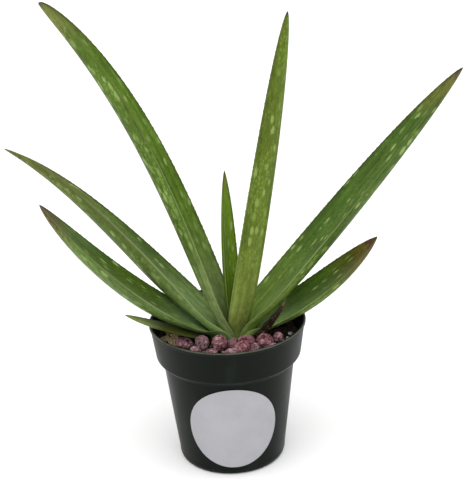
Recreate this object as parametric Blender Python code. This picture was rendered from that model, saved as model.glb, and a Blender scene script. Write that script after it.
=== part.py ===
"""Small aloe with nine leaves in a round nursery pot, topped with rough pebbles.

Metres, +Z up. The origin is the centre of the pot's base. The front, which carries
the blank label, faces -Y.
"""

import math
from typing import NamedTuple

import bpy
import numpy as np

# Pot
POT_HEIGHT = 0.0967
RIM_RADIUS = 0.0510
BAND_FOOT_RADIUS = 0.0474
BAND_FOOT_Z = 0.0741
STEP_RADIUS = 0.0430
STEP_Z = 0.0696
FOOT_RADIUS = 0.0353
FOOT_Z = 0.0060
POT_WALL = 0.0013
FLOOR_TOP = 0.0031
RECESS_Z = 0.0018
DRAIN_COUNT = 6
DRAIN_RADIUS = 0.0035
DRAIN_RING = 0.0200
POT_SEGMENTS = 64

# Label
LABEL_RADIUS = 0.0302
LABEL_CENTRE_Z = 0.0367
LABEL_THICK = 0.0003
LABEL_TURN = 2.0

# Plant base and potting mix
GAP = 0.0003
PLANT_X = 0.0060
PLANT_Y = 0.0050
LEAF_BASE_Z = 0.0797
STEM_RADIUS = 0.0162
STEM_BOTTOM_Z = 0.0617
MIX_Z = 0.0817
MIX_SEGMENTS = 48

COLOURS = {
    "pot_plastic": ((0.018, 0.026, 0.023), 0.42),
    "label_paper": ((0.60, 0.58, 0.63), 0.55),
    "potting_mix": ((0.035, 0.022, 0.015), 0.95),
    "stem_skin": ((0.35, 0.38, 0.16), 0.60),
    "leaf_skin": ((0.085, 0.170, 0.030), 0.40),
    "young_leaf_skin": ((0.120, 0.230, 0.030), 0.40),
    "dried_leaf_skin": ((0.060, 0.022, 0.012), 0.80),
    "pebble_stone": ((0.300, 0.120, 0.140), 0.85),
    "perlite_grain": ((0.780, 0.760, 0.700), 0.90),
    "bark_chip": ((0.400, 0.250, 0.110), 0.90),
}


class Leaf(NamedTuple):
    """One leaf. Lengths in metres, angles in degrees."""

    name: str
    material: str
    ring: float  # inner radius of the clasping base
    clasp_turn: float  # direction of the clasping base, seen from above
    clasp_half: float  # half of the angle that the base wraps
    clasp_thick: float
    turn: float  # direction of the blade, seen from above
    turn_more: float  # how much the direction changes by the tip
    lean: float  # from upright, above the base
    lean_tip: float
    lean_power: float
    rise: float  # length over which the base opens into the blade
    length: float
    half_width: float
    thick: float
    channel: float  # half angle of the blade's trough
    taper_a: float
    taper_b: float
    twist: float
    twist_power: float
    flatten: float  # how much the trough opens out by the tip


LEAVES = (
    Leaf("leaf_centre_young", "young_leaf_skin", 0.0020, 150, 95, 0.0024, 139, -6,
         2, 1, 1.0, 0.009, 0.116, 0.0071, 0.0046, 35, 2.7, 0.74, -2, 1, 0.35),
    Leaf("leaf_tall_centre", "young_leaf_skin", 0.0050, -70, 80, 0.0024, -55, -6,
         16, 16, 1.0, 0.009, 0.237, 0.0097, 0.0050, 24, 2.6, 0.59, 1, 1, 0.35),
    Leaf("leaf_tall_left", "leaf_skin", 0.0082, 180, 84, 0.0027, 162.6, 9.4,
         19.2, 43.1, 2.23, 0.0107, 0.2494, 0.0151, 0.0046, 57.4, 4.1, 0.47, 2.8, 1.02, -0.41),
    Leaf("leaf_tall_right", "leaf_skin", 0.0082, 0, 84, 0.0027, 13.2, -13.9,
         45.1, 38.5, 0.75, 0.0116, 0.2238, 0.0158, 0.0063, 40.8, 3.1, 0.68, 13.4, 0.61, -0.27),
    Leaf("leaf_middle_left", "leaf_skin", 0.0116, 180, 84, 0.0027, 155.3, -14.4,
         47.5, 84.6, 2.5, 0.0075, 0.2061, 0.0134, 0.0105, 40.5, 1.5, 0.67, 32.6, 0.6, 0.13),
    Leaf("leaf_low_right", "leaf_skin", 0.0116, 0, 84, 0.0027, -0.8, -5.9,
         69.1, 42.9, 0.63, 0.0076, 0.1082, 0.0137, 0.0082, 21.6, 3.41, 0.79, 19.8, 0.49, -0.05),
    Leaf("leaf_low_left", "leaf_skin", 0.0154, 182, 84, 0.0018, 186.8, 0.7,
         69.0, 35.0, 0.6, 0.0068, 0.1497, 0.0172, 0.0084, 17.1, 3.43, 0.73, -1.7, 1, -0.44),
    Leaf("leaf_small_left", "leaf_skin", 0.0206, 204, 19, 0.0011, 193.5, -7,
         76.0, 62.5, 0.75, 0.0067, 0.0625, 0.0102, 0.0022, 8.6, 2.96, 0.66, 5.3, 0.58, 0.05),
    Leaf("leaf_dried_right", "dried_leaf_skin", 0.0180, -44, 22, 0.0013, -50, -1,
         47, 33, 1.0, 0.007, 0.0495, 0.0042, 0.0016, 30, 1.9, 0.73, -30, 1, 0.35),
)
LEAF_SPREAD = 0.036  # length over which the base's thickness grows to the blade's
LEAF_RINGS = 21
LEAF_ACROSS = 9

# Pebbles that lie against the front of the plant: x, y, length, depth, height, turn
FRONT_PEBBLES = (
    (-0.0281, -0.0130, 0.0122, 0.0095, 0.0078, 10),
    (-0.0164, -0.0187, 0.0100, 0.0084, 0.0118, 60),
    (-0.0055, -0.0185, 0.0104, 0.0098, 0.0104, 80),
    (0.0033, -0.0166, 0.0070, 0.0066, 0.0088, 20),
    (0.0121, -0.0163, 0.0116, 0.0074, 0.0088, -8),
    (0.0085, -0.0246, 0.0106, 0.0080, 0.0086, 5),
    (0.0020, -0.0312, 0.0104, 0.0080, 0.0068, -12),
    (0.0176, -0.0232, 0.0068, 0.0064, 0.0076, 35),
    (0.0236, -0.0162, 0.0110, 0.0088, 0.0100, -20),
    (0.0322, -0.0116, 0.0072, 0.0066, 0.0076, 50),
    (-0.0212, -0.0250, 0.0076, 0.0066, 0.0060, -30),
    (-0.0110, -0.0270, 0.0080, 0.0064, 0.0062, 15),
)
# Pebbles further round the pot: angle, distance from the pot's axis, length, depth, height
ROUND_PEBBLES = (
    (-112, 0.0385, 0.0098, 0.0082, 0.0072),
    (-86, 0.0400, 0.0090, 0.0076, 0.0064),
    (-64, 0.0375, 0.0104, 0.0086, 0.0076),
    (-44, 0.0395, 0.0092, 0.0080, 0.0070),
    (28, 0.0390, 0.0100, 0.0084, 0.0078),
    (45, 0.0360, 0.0108, 0.0090, 0.0084),
    (62, 0.0392, 0.0094, 0.0080, 0.0072),
    (80, 0.0365, 0.0112, 0.0092, 0.0086),
    (98, 0.0388, 0.0090, 0.0078, 0.0070),
    (115, 0.0352, 0.0106, 0.0090, 0.0082),
    (133, 0.0386, 0.0096, 0.0082, 0.0074),
    (150, 0.0365, 0.0102, 0.0086, 0.0070),
    (-134, 0.0400, 0.0084, 0.0072, 0.0062),
)
# Loose grains: x, y, length
PERLITE = ((0.0405, -0.0010, 0.0030), (0.0385, -0.0065, 0.0022), (-0.0290, 0.0240, 0.0028))
BARK = ((-0.0425, -0.0045, 0.0050), (-0.0375, -0.0105, 0.0040), (0.0360, -0.0190, 0.0044))


def clear_scene() -> None:
    for old in list(bpy.data.objects):
        bpy.data.objects.remove(old, do_unlink=True)


def material(name: str) -> bpy.types.Material:
    found = bpy.data.materials.get(name)
    if found:
        return found
    made = bpy.data.materials.new(name)
    made.use_nodes = True
    colour, roughness = COLOURS[name]
    shader = made.node_tree.nodes["Principled BSDF"]
    shader.inputs["Base Color"].default_value = (*colour, 1.0)
    shader.inputs["Roughness"].default_value = roughness
    shader.inputs["Metallic"].default_value = 0.0
    made.diffuse_color = (*colour, 1.0)
    return made


def add_object(name: str, points, faces, slot: str, smooth: bool = True) -> bpy.types.Object:
    mesh = bpy.data.meshes.new(name)
    mesh.from_pydata([tuple(map(float, p)) for p in points], [], [tuple(f) for f in faces])
    mesh.validate()
    mesh.update()
    mesh.materials.append(material(slot))
    for polygon in mesh.polygons:
        polygon.use_smooth = smooth
    made = bpy.data.objects.new(name, mesh)
    bpy.context.collection.objects.link(made)
    return made


def ring_faces(low: int, high: int, count: int) -> list:
    """Quads between two closed rings whose points start at low and high."""
    return [
        (low + i, low + (i + 1) % count, high + (i + 1) % count, high + i)
        for i in range(count)
    ]


def turned_solid(name: str, profile, slot: str, segments: int) -> bpy.types.Object:
    """A closed body turned about the pot's axis; the profile's two ends lie on the axis."""
    around = np.arange(segments) * 2.0 * math.pi / segments
    rings = [
        np.stack([r * np.cos(around), r * np.sin(around), np.full(segments, z)], -1)
        for r, z in profile[1:-1]
    ]
    points = np.concatenate([[(0, 0, profile[0][1])], *rings, [(0, 0, profile[-1][1])]])
    faces = [(0, 1 + (i + 1) % segments, 1 + i) for i in range(segments)]
    for k in range(len(rings) - 1):
        faces += ring_faces(1 + k * segments, 1 + (k + 1) * segments, segments)
    last = 1 + (len(rings) - 1) * segments
    top = len(points) - 1
    faces += [(top, last + i, last + (i + 1) % segments) for i in range(segments)]
    return add_object(name, points, faces, slot)


def pot_radius(z: float) -> float:
    """Outer radius of the pot's plain tapered body."""
    return FOOT_RADIUS + (STEP_RADIUS - FOOT_RADIUS) * (z - FOOT_Z) / (STEP_Z - FOOT_Z)


def pot_profile() -> list:
    w = POT_WALL
    foot = FOOT_RADIUS
    band = BAND_FOOT_RADIUS
    outer = [
        (0.0, 0.0),
        (0.0120, 0.0),
        (0.0140, RECESS_Z),
        (0.0265, RECESS_Z),
        (0.0285, 0.0),
        (foot - 0.0028, 0.0),
        (foot - 0.0010, 0.0010),
        (foot - 0.0002, 0.0032),
        (foot, FOOT_Z),
        (STEP_RADIUS, STEP_Z),
        (STEP_RADIUS + 0.0012, STEP_Z + 0.0008),
        (band - 0.0006, BAND_FOOT_Z - 0.0010),
        (band, BAND_FOOT_Z),
        (RIM_RADIUS - 0.0008, POT_HEIGHT - 0.0026),
        (RIM_RADIUS, POT_HEIGHT - 0.0018),
        (RIM_RADIUS, POT_HEIGHT - 0.0006),
        (RIM_RADIUS - 0.0005, POT_HEIGHT),
    ]
    inner = [
        (RIM_RADIUS - 0.0014, POT_HEIGHT),
        (RIM_RADIUS - 0.0019, POT_HEIGHT - 0.0006),
        (band - w, BAND_FOOT_Z + 0.0006),
        (STEP_RADIUS - w, STEP_Z + 0.0008),
        (foot - w, FOOT_Z + 0.0006),
        (foot - 0.0030, FLOOR_TOP),
        (0.0, FLOOR_TOP),
    ]
    return outer + inner


def make_pot() -> None:
    pot = turned_solid("pot", pot_profile(), "pot_plastic", POT_SEGMENTS)
    points = []
    faces = []
    sides = 16
    around = np.arange(sides) * 2.0 * math.pi / sides
    for k in range(DRAIN_COUNT):
        turn = math.radians(30 + 360.0 * k / DRAIN_COUNT)
        x = DRAIN_RING * math.cos(turn)
        y = DRAIN_RING * math.sin(turn)
        start = len(points)
        for z in (-0.002, 0.006):
            for a in around:
                points.append((x + DRAIN_RADIUS * math.cos(a), y + DRAIN_RADIUS * math.sin(a), z))
        faces += ring_faces(start, start + sides, sides)
        faces.append(tuple(start + i for i in reversed(range(sides))))
        faces.append(tuple(start + sides + i for i in range(sides)))
    cutter = add_object("drain_cutter", points, faces, "pot_plastic", smooth=False)
    cutter.hide_render = True
    cutter.display_type = "WIRE"
    drill = pot.modifiers.new("drain_holes", "BOOLEAN")
    drill.operation = "DIFFERENCE"
    drill.solver = "EXACT"
    drill.object = cutter


def make_label() -> None:
    """A round sticker bent round the pot's cone, with its lower face GAP off the wall."""
    rings = 4
    sides = 40
    around = np.arange(sides) * 2.0 * math.pi / sides
    sheets = []
    for lift in (GAP, GAP + LABEL_THICK):
        rows = [np.array([[0.0, LABEL_CENTRE_Z]])]
        for k in range(1, rings + 1):
            r = LABEL_RADIUS * k / rings
            rows.append(np.stack([r * np.cos(around), LABEL_CENTRE_Z + r * np.sin(around)], -1))
        flat = np.concatenate(rows)
        radius = np.array([pot_radius(z) for z in flat[:, 1]]) + lift
        turn = flat[:, 0] / radius + math.radians(LABEL_TURN)
        sheets.append(np.stack([radius * np.sin(turn), -radius * np.cos(turn), flat[:, 1]], -1))
    count = len(sheets[0])
    points = np.concatenate(sheets)
    faces = []
    for k in range(2):
        o = k * count
        sheet = [(o, o + 1 + i, o + 1 + (i + 1) % sides) for i in range(sides)]
        for j in range(rings - 1):
            sheet += ring_faces(o + 1 + j * sides, o + 1 + (j + 1) * sides, sides)
        faces += [f if k and len(f) == 3 or not k and len(f) == 4 else f[::-1] for f in sheet]
    edge = 1 + (rings - 1) * sides
    faces += [f[::-1] for f in ring_faces(count + edge, edge, sides)]
    add_object("blank_label", points, faces, "label_paper")


def leaf_shape(leaf: Leaf, steps: np.ndarray, across: np.ndarray):
    """Upper and lower skins of a leaf.

    The middle line leaves the clasping base upright and leans out; each section is a
    trough whose half angle opens from the clasp to the blade.
    """
    fine = np.linspace(0.0, 1.0, 241)
    run = fine * leaf.length
    base = np.exp(-((run / leaf.rise) ** 2))
    turn = np.radians(leaf.turn + leaf.turn_more * fine**1.5 + (leaf.clasp_turn - leaf.turn) * base)
    lean = np.radians(leaf.lean + (leaf.lean_tip - leaf.lean) * fine**leaf.lean_power) * (1.0 - base)
    along = np.stack([np.sin(lean) * np.cos(turn), np.sin(lean) * np.sin(turn), np.cos(lean)], -1)
    inward = np.stack([-np.cos(lean) * np.cos(turn), -np.cos(lean) * np.sin(turn), np.sin(lean)], -1)
    side = np.cross(inward, along)
    twist = np.radians(leaf.twist * fine**leaf.twist_power)[:, None]
    side, inward = side * np.cos(twist) + inward * np.sin(twist), inward * np.cos(twist) - side * np.sin(twist)
    start = math.radians(leaf.clasp_turn)
    middle = np.array([PLANT_X + leaf.ring * math.cos(start), PLANT_Y + leaf.ring * math.sin(start), LEAF_BASE_Z])
    moved = np.cumsum((along[1:] + along[:-1]) * 0.5 * np.diff(run)[:, None], axis=0)
    line = middle + np.concatenate([np.zeros((1, 3)), moved])
    line, side, inward = (
        np.stack([np.interp(steps, fine, v[:, i]) for i in range(3)], -1) for v in (line, side, inward)
    )
    run = steps * leaf.length
    taper = np.clip(1.0 - steps**leaf.taper_a, 0.0, 1.0) ** leaf.taper_b
    base = np.exp(-((run / (1.6 * leaf.rise)) ** 2))
    clasp = math.radians(leaf.clasp_half)
    blade = math.radians(leaf.channel) * (1.0 - leaf.flatten * steps)
    theta = blade + (clasp - blade) * base
    half = (leaf.half_width + (leaf.ring * clasp - leaf.half_width) * base) * taper
    thick = leaf.thick * taper + (leaf.clasp_thick - leaf.thick) * np.exp(-((run / LEAF_SPREAD) ** 2))
    bend = half / theta
    angle = theta[:, None] * across[None]
    upper = line[:, None] + side[:, None] * (bend[:, None] * np.sin(angle))[..., None]
    upper = upper + inward[:, None] * (bend[:, None] * (1.0 - np.cos(angle)))[..., None]
    depth = thick[:, None] * ((1.0 - np.abs(across) ** 2.4) ** 0.75)[None]
    lower = upper + side[:, None] * (depth * np.sin(angle))[..., None]
    lower = lower - inward[:, None] * (depth * np.cos(angle))[..., None]
    return upper, lower, line


def make_leaf(leaf: Leaf) -> None:
    steps = np.linspace(0.0, 1.0, LEAF_RINGS) ** 1.25
    across = np.linspace(-1.0, 1.0, LEAF_ACROSS)
    upper, lower, line = leaf_shape(leaf, steps, across)
    ring = np.concatenate([upper, lower[:, 1:-1][:, ::-1]], axis=1)[:-1]
    count = ring.shape[1]
    rows = len(ring)
    points = np.concatenate([ring.reshape(-1, 3), line[-1:]])
    faces = []
    for k in range(rows - 1):
        faces += ring_faces(k * count, (k + 1) * count, count)
    tip = rows * count
    last = tip - count
    faces += [(last + i, last + (i + 1) % count, tip) for i in range(count)]
    far = LEAF_ACROSS - 1
    faces.append((0, count - 1, 1))
    faces += [(i, count - i, count - i - 1, i + 1) for i in range(1, far - 1)]
    faces.append((far - 1, far + 1, far))
    add_object(leaf.name, points, [f[::-1] for f in faces], leaf.material)


def stem_radius(turn):
    """Outline of the short stem, fuller on the left and where the two lowest leaves leave it."""
    low_left = np.exp(-((((np.degrees(turn) - 26) % 360 - 180) / 28) ** 2))
    low_right = np.exp(-((((np.degrees(turn) - 136) % 360 - 180) / 48) ** 2))
    return STEM_RADIUS - 0.0016 * np.cos(turn) + 0.0053 * low_left + 0.0058 * low_right


def mix_height(x, y):
    """Height of the potting mix's uneven top."""
    waves = 0.0006 * np.sin(260 * x + 1.0) * np.cos(230 * y) + 0.0004 * np.sin(520 * y + 240 * x)
    return MIX_Z + waves + 0.0016 * (np.hypot(x, y) / 0.045) ** 4


def make_mix() -> None:
    """The root ball and potting mix: it fills the pot and holds the stem in a well."""
    side = FOOT_RADIUS - POT_WALL - GAP - 0.0002
    top = STEP_RADIUS - POT_WALL - GAP - 0.0002
    around = np.arange(MIX_SEGMENTS) * 2.0 * math.pi / MIX_SEGMENTS
    ring = np.stack([np.cos(around), np.sin(around)], -1)
    well = (stem_radius(around) + GAP)[:, None]
    rows = []
    for radius, z in ((side - 0.0030, FLOOR_TOP + GAP), (side, FOOT_Z + 0.0012), (top, STEP_Z + 0.0008)):
        rows.append(np.concatenate([ring * radius, np.full((MIX_SEGMENTS, 1), z)], 1))
    wall = BAND_FOOT_RADIUS - POT_WALL - GAP - 0.0002
    rows.append(np.concatenate([ring * wall, np.full((MIX_SEGMENTS, 1), BAND_FOOT_Z + 0.0006)], 1))
    rim = wall + 0.0008
    centre = np.array([PLANT_X, PLANT_Y])
    for k in range(7):
        share = k / 6
        flat = ring * (rim + (well - rim) * share) + centre * share
        rows.append(np.concatenate([flat, mix_height(flat[:, 0], flat[:, 1])[:, None]], 1))
    flat = ring * well + centre
    rows.append(np.concatenate([flat, np.full((MIX_SEGMENTS, 1), STEM_BOTTOM_Z - GAP)], 1))
    low = [(0, 0, FLOOR_TOP + GAP)]
    points = np.concatenate([low, *rows, [(PLANT_X, PLANT_Y, STEM_BOTTOM_Z - GAP)]])
    faces = [(0, 1 + (i + 1) % MIX_SEGMENTS, 1 + i) for i in range(MIX_SEGMENTS)]
    for k in range(len(rows) - 1):
        faces += ring_faces(1 + k * MIX_SEGMENTS, 1 + (k + 1) * MIX_SEGMENTS, MIX_SEGMENTS)
    last = 1 + (len(rows) - 1) * MIX_SEGMENTS
    end = len(points) - 1
    faces += [(end, last + i, last + (i + 1) % MIX_SEGMENTS) for i in range(MIX_SEGMENTS)]
    add_object("potting_mix", points, faces, "potting_mix")


def make_stem() -> None:
    """The short stem that carries the leaves: a stub with a rounded lower end."""
    top = LEAF_BASE_Z - GAP
    around = np.arange(MIX_SEGMENTS) * 2.0 * math.pi / MIX_SEGMENTS
    ring = np.stack([np.cos(around), np.sin(around)], -1) * stem_radius(around)[:, None]
    levels = ((0.55, STEM_BOTTOM_Z), (0.85, STEM_BOTTOM_Z + 0.004), (1.0, STEM_BOTTOM_Z + 0.011), (1.0, top))
    rows = [(0.0, 0.0, STEM_BOTTOM_Z)]
    rows += [(x * share, y * share, z) for share, z in levels for x, y in ring]
    rows.append((0.0, 0.0, top))
    points = np.array(rows) + (PLANT_X, PLANT_Y, 0.0)
    faces = [(0, 1 + (i + 1) % MIX_SEGMENTS, 1 + i) for i in range(MIX_SEGMENTS)]
    for k in range(len(levels) - 1):
        faces += ring_faces(1 + k * MIX_SEGMENTS, 1 + (k + 1) * MIX_SEGMENTS, MIX_SEGMENTS)
    last = 1 + (len(levels) - 1) * MIX_SEGMENTS
    end = len(points) - 1
    faces += [(end, last + i, last + (i + 1) % MIX_SEGMENTS) for i in range(MIX_SEGMENTS)]
    add_object("stem_base", points, faces, "stem_skin")


def ball_points(count: int, rows: int):
    """Points and faces of a ball made of rings, one unit in radius."""
    around = np.arange(count) * 2.0 * math.pi / count
    points = [(0.0, 0.0, -1.0)]
    for k in range(1, rows):
        tilt = math.pi * k / rows
        for a in around + 0.5 * (k % 2) * 2.0 * math.pi / count:
            points.append((math.sin(tilt) * math.cos(a), math.sin(tilt) * math.sin(a), -math.cos(tilt)))
    points.append((0.0, 0.0, 1.0))
    faces = [(0, 1 + (i + 1) % count, 1 + i) for i in range(count)]
    for k in range(rows - 2):
        faces += ring_faces(1 + k * count, 1 + (k + 1) * count, count)
    last = 1 + (rows - 2) * count
    faces += [(len(points) - 1, last + i, last + (i + 1) % count) for i in range(count)]
    return np.array(points), faces


def stone(name: str, slot: str, x, y, sizes, turn, seed: int, rough: float, cells=(8, 6)) -> None:
    """A rounded, slightly lumpy stone that lies on the potting mix."""
    points, faces = ball_points(*cells)
    draw = np.random.default_rng(seed)
    lump = np.zeros(len(points))
    for _ in range(4):
        way = draw.normal(size=3)
        way /= np.linalg.norm(way)
        lump += np.sin(2.6 * points @ way + draw.uniform(0, 6.28))
    points = points * (1.0 + rough * lump / 4)[:, None]
    low, high = points.min(0), points.max(0)
    points = (points - (low + high) / 2) / (high - low) * np.array(sizes)
    tilt = math.radians(draw.uniform(-7, 7))
    spin = math.radians(turn)
    c, s = math.cos(tilt), math.sin(tilt)
    points = points @ np.array([[c, 0, s], [0, 1, 0], [-s, 0, c]])
    c, s = math.cos(spin), math.sin(spin)
    points = points @ np.array([[c, s, 0], [-s, c, 0], [0, 0, 1]])
    points[:, 0] += x
    points[:, 1] += y
    under = points[:, 2] - mix_height(points[:, 0], points[:, 1])
    points[:, 2] += GAP + 0.0004 - under.min()
    add_object(name, points, faces, slot)


def main() -> None:
    clear_scene()
    make_pot()
    make_label()
    make_mix()
    make_stem()
    for leaf in LEAVES:
        make_leaf(leaf)
    number = 0
    for x, y, length, depth, height, turn in FRONT_PEBBLES:
        number += 1
        stone(f"pebble_{number:02d}", "pebble_stone", x, y, (length, depth, height), turn, number, 0.16)
    for angle, distance, length, depth, height in ROUND_PEBBLES:
        number += 1
        x = distance * math.cos(math.radians(angle))
        y = distance * math.sin(math.radians(angle))
        stone(f"pebble_{number:02d}", "pebble_stone", x, y, (length, depth, height), angle + 90, number, 0.16)
    for k, (x, y, length) in enumerate(PERLITE, 1):
        sizes = (length, 0.85 * length, 0.8 * length)
        stone(f"perlite_{k}", "perlite_grain", x, y, sizes, 40 * k, 60 + k, 0.25, (6, 4))
    for k, (x, y, length) in enumerate(BARK, 1):
        sizes = (length, 0.62 * length, 0.42 * length)
        stone(f"bark_chip_{k}", "bark_chip", x, y, sizes, 55 * k, 80 + k, 0.30, (6, 4))


main()
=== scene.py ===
"""Small potted aloe: nine spotted leaves in a round nursery pot, topped with rough stones.

Lengths are metres in the frame's own axes: the origin is the centre of the pot's base,
+Z is up and the blank label faces -Y.
"""

import logging
import math
from dataclasses import dataclass, field
from enum import Enum

import bpy
import numpy as np
from mathutils import Matrix, Vector


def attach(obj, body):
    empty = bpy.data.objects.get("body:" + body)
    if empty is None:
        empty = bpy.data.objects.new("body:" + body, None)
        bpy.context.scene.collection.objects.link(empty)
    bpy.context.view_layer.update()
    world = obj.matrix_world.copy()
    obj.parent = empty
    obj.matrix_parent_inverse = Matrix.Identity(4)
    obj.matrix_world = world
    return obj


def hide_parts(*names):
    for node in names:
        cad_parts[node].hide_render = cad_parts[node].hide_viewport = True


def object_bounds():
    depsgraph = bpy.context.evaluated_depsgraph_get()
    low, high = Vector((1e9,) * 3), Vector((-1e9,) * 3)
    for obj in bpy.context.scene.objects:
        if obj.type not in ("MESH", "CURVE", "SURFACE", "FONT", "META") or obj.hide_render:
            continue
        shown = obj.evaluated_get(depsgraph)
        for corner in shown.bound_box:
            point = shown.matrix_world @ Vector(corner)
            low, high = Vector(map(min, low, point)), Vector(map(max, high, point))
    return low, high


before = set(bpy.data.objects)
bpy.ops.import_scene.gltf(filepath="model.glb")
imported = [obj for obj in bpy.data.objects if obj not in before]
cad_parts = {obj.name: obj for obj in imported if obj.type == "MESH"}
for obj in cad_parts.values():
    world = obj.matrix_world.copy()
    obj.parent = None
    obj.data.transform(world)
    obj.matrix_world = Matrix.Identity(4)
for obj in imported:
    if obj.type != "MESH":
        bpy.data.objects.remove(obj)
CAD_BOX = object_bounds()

LOG = logging.getLogger("potted_aloe")
BODY = "root"
TURN = 2.0 * math.pi
Colour = tuple[float, float, float]
Place = tuple[float, float, float]
Mesh = tuple[np.ndarray, list[np.ndarray]]
Socket = bpy.types.NodeSocket


# ---- meshes


def grid_quads(rows: int, columns: int) -> np.ndarray:
    """Quads of closed rings of points stored one after another.

    Args:
        rows: number of rings.
        columns: number of points in a ring.

    Returns:
        Four corner numbers a quad, turned so that the face looks out when the rings go
        up and their points go anticlockwise.
    """
    row = np.arange(rows - 1)[:, None] * columns
    here = np.arange(columns)[None]
    after = (here + 1) % columns
    quads = np.stack([row + here, row + after, row + columns + after, row + columns + here], -1)
    return quads.reshape(-1, 4)


def fan(centre: int, ring: np.ndarray) -> np.ndarray:
    """Triangles from one centre point to each side of a closed ring of points."""
    return np.stack([np.full(len(ring), centre), ring, np.roll(ring, -1)], -1)


def around(sides: int) -> np.ndarray:
    """Even angles of one turn, from 0: a = 2 pi k / sides."""
    return np.arange(sides) * TURN / sides


def polar(radius: np.ndarray, turn: np.ndarray, height: np.ndarray) -> np.ndarray:
    """Points at a radius, a direction and a height: (r cos a, r sin a, z)."""
    return np.stack(np.broadcast_arrays(radius * np.cos(turn), radius * np.sin(turn), height), -1)


def capped(rings: np.ndarray, low: Place | None, high: Place | None) -> Mesh:
    """Closes a stack of rings with a fan to a point below it and one to a point above it.

    Args:
        rings: points by row, going up, and by place round the row, going anticlockwise.
        low: the low end's point, or None to leave that end open.
        high: the high end's point, or None.

    Returns:
        The points, with the end points last, and the faces.
    """
    rows, sides = rings.shape[:2]
    ring = np.arange(sides)
    points = rings.reshape(-1, 3)
    faces = [grid_quads(rows, sides)]
    if low is not None:
        faces.append(fan(len(points), ring)[:, ::-1])
        points = np.append(points, [low], axis=0)
    if high is not None:
        faces.append(fan(len(points), (rows - 1) * sides + ring))
        points = np.append(points, [high], axis=0)
    return points, faces


def smooth_rise(value: np.ndarray, low: float, high: float) -> np.ndarray:
    """Zero below low, one above high, and the cubic 3t^2 - 2t^3 in between."""
    t = np.clip((value - low) / (high - low), 0.0, 1.0)
    return t * t * (3.0 - 2.0 * t)


def wave_noise(points: np.ndarray, pitch: float, seed: int, waves: int = 14) -> np.ndarray:
    """Smooth random relief: the mean of sine waves that run in random directions.

    Args:
        points: places in metres, in the last axis.
        pitch: mean wavelength in metres.
        seed: seed of the directions and phases.
        waves: how many waves are added.

    Returns:
        Values of about -1 to 1, one a place.
    """
    draw = np.random.default_rng(seed)
    ways = draw.normal(size=(waves, 3))
    ways /= np.linalg.norm(ways, axis=1)[:, None]
    ways *= TURN / (pitch * draw.uniform(0.6, 1.6, (waves, 1)))
    phase = draw.uniform(0.0, TURN, waves)
    return np.sin(points @ ways.T + phase).sum(-1) / math.sqrt(waves) * 0.8


def revolved(profile: np.ndarray, segments: int) -> Mesh:
    """Turns a profile round the Z axis: each (r, z) gives the ring (r cos a, r sin a, z).

    Args:
        profile: rows of radius and height; the first or last radius may be zero.
        segments: points in a ring.

    Returns:
        The points, and the faces, which look away from the side on the profile's left.
    """
    rings = polar(profile[:, :1], around(segments), profile[:, 1:])
    starts, ends = profile[[0, -1], 0] == 0.0
    body = rings[int(starts):len(rings) - int(ends)]
    return capped(body, rings[0, 0] if starts else None, rings[-1, 0] if ends else None)


def rounded(corners: tuple[tuple[float, float, float], ...], steps: int = 5) -> np.ndarray:
    """A profile whose corners are eased: p0 (1 - t)^2 + 2 p1 t (1 - t) + p2 t^2 at each.

    Args:
        corners: radius, height and easing length of each corner, of which the two ends
            are kept sharp and the others have some easing.
        steps: points in each eased corner.

    Returns:
        Rows of radius and height.
    """
    table = np.array(corners)
    places, middle, ease = table[:, :2], table[1:-1, :2], table[1:-1, 2:]
    back, ahead = places[:-2] - middle, places[2:] - middle
    far, near = (np.linalg.norm(way, axis=1)[:, None] for way in (back, ahead))
    reach = np.minimum(ease, 0.45 * np.minimum(far, near))
    first, last = middle + back / far * reach, middle + ahead / near * reach
    t = np.linspace(0.0, 1.0, steps)[:, None, None]
    eased = first * (1 - t) ** 2 + middle * 2 * t * (1 - t) + last * t ** 2
    return np.concatenate([places[:1], eased.swapaxes(0, 1).reshape(-1, 2), places[-1:]])


def joined(parts: list[Mesh], grid: float = 1e7) -> Mesh:
    """Puts meshes together and merges the points that they share.

    Args:
        parts: the meshes.
        grid: steps a metre; points on the same step are one.

    Returns:
        The points that are left, and the faces.
    """
    points = np.concatenate([p for p, _ in parts])
    starts = np.cumsum([0] + [len(p) for p, _ in parts])
    steps = np.round(points * grid)
    _, kept, home = np.unique(steps, axis=0, return_index=True, return_inverse=True)
    home = home.reshape(-1)
    faces = [home[f + start] for (_, group), start in zip(parts, starts) for f in group]
    return points[kept], faces


def ball(columns: int, rows: int) -> Mesh:
    """Directions over a ball of unit radius: (sin b cos a, sin b sin a, -cos b).

    Args:
        columns: points in a ring.
        rows: steps from the lower pole to the upper one.

    Returns:
        The points, with the two poles last, and the faces.
    """
    tilt = np.arange(1, rows)[:, None] * math.pi / rows
    rings = polar(np.sin(tilt), around(columns), -np.cos(tilt))
    return capped(rings, (0.0, 0.0, -1.0), (0.0, 0.0, 1.0))


def node_points(name: str) -> np.ndarray:
    """The corners of one of the frame's nodes.

    Args:
        name: the node's name.

    Returns:
        Points in the frame's axes.
    """
    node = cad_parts[name]
    flat = np.empty(3 * len(node.data.vertices), np.float32)
    node.data.vertices.foreach_get("co", flat)
    place = np.array(node.matrix_world)
    return flat.reshape(-1, 3).astype(float) @ place[:3, :3].T + place[:3, 3]


def placed(name: str, data: bpy.types.ID) -> bpy.types.Object:
    """An object with this mesh, lamp or camera, linked to the scene."""
    made = bpy.data.objects.new(name, data)
    bpy.context.scene.collection.objects.link(made)
    return made


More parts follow.
